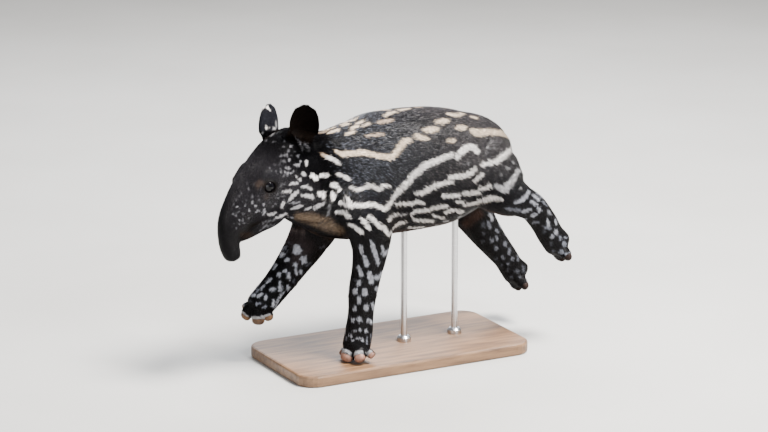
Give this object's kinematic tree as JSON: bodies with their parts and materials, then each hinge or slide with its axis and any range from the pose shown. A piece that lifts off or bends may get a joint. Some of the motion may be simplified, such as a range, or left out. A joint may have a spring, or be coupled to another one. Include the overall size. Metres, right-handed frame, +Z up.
{
  "type": "malayan tapir calf model",
  "caption": "Life-size still model of a striped Malayan tapir calf in mid bound, held over a flat wooden base by two steel rods.",
  "frame": {"origin": "on the underside of the stand's base, in the calf's middle plane, 10 mm in front of the base's middle", "axes": "+Z up, the calf faces -X, its left side is -Y and its right side +Y"},
  "size_m": [0.5798, 0.21, 0.4199],
  "materials": {
    "dark_coat": "hide with short dense fur, near black, marked in cream",
    "hoof_horn": "smooth horn, pinkish brown",
    "eye_gloss": "wet gloss, very dark brown",
    "base_wood": "satin, plain",
    "rod_steel": "satin"
  },
  "bodies": {
    "root": {"torso": "dark_coat", "neck": "dark_coat", "head": "dark_coat", "snout": "dark_coat", "ear_left": "dark_coat", "ear_right": "dark_coat", "tail": "dark_coat", "fore_left_leg": "dark_coat", "fore_left_foot": "dark_coat", "fore_right_leg": "dark_coat", "fore_right_foot": "dark_coat", "hind_left_leg": "dark_coat", "hind_left_foot": "dark_coat", "hind_right_leg": "dark_coat", "hind_right_foot": "dark_coat", "eye_left": "eye_gloss", "eye_right": "eye_gloss", "fore_left_hoof_1": "hoof_horn", "fore_left_hoof_2": "hoof_horn", "fore_left_hoof_3": "hoof_horn", "fore_left_hoof_4": "hoof_horn", "fore_right_hoof_1": "hoof_horn", "fore_right_hoof_2": "hoof_horn", "fore_right_hoof_3": "hoof_horn", "fore_right_hoof_4": "hoof_horn", "hind_left_hoof_1": "hoof_horn", "hind_left_hoof_2": "hoof_horn", "hind_left_hoof_3": "hoof_horn", "hind_right_hoof_1": "hoof_horn", "hind_right_hoof_2": "hoof_horn", "hind_right_hoof_3": "hoof_horn", "stand_base": "base_wood", "stand_rod_front": "rod_steel", "stand_rod_rear": "rod_steel"}
  },
  "joints": []
}
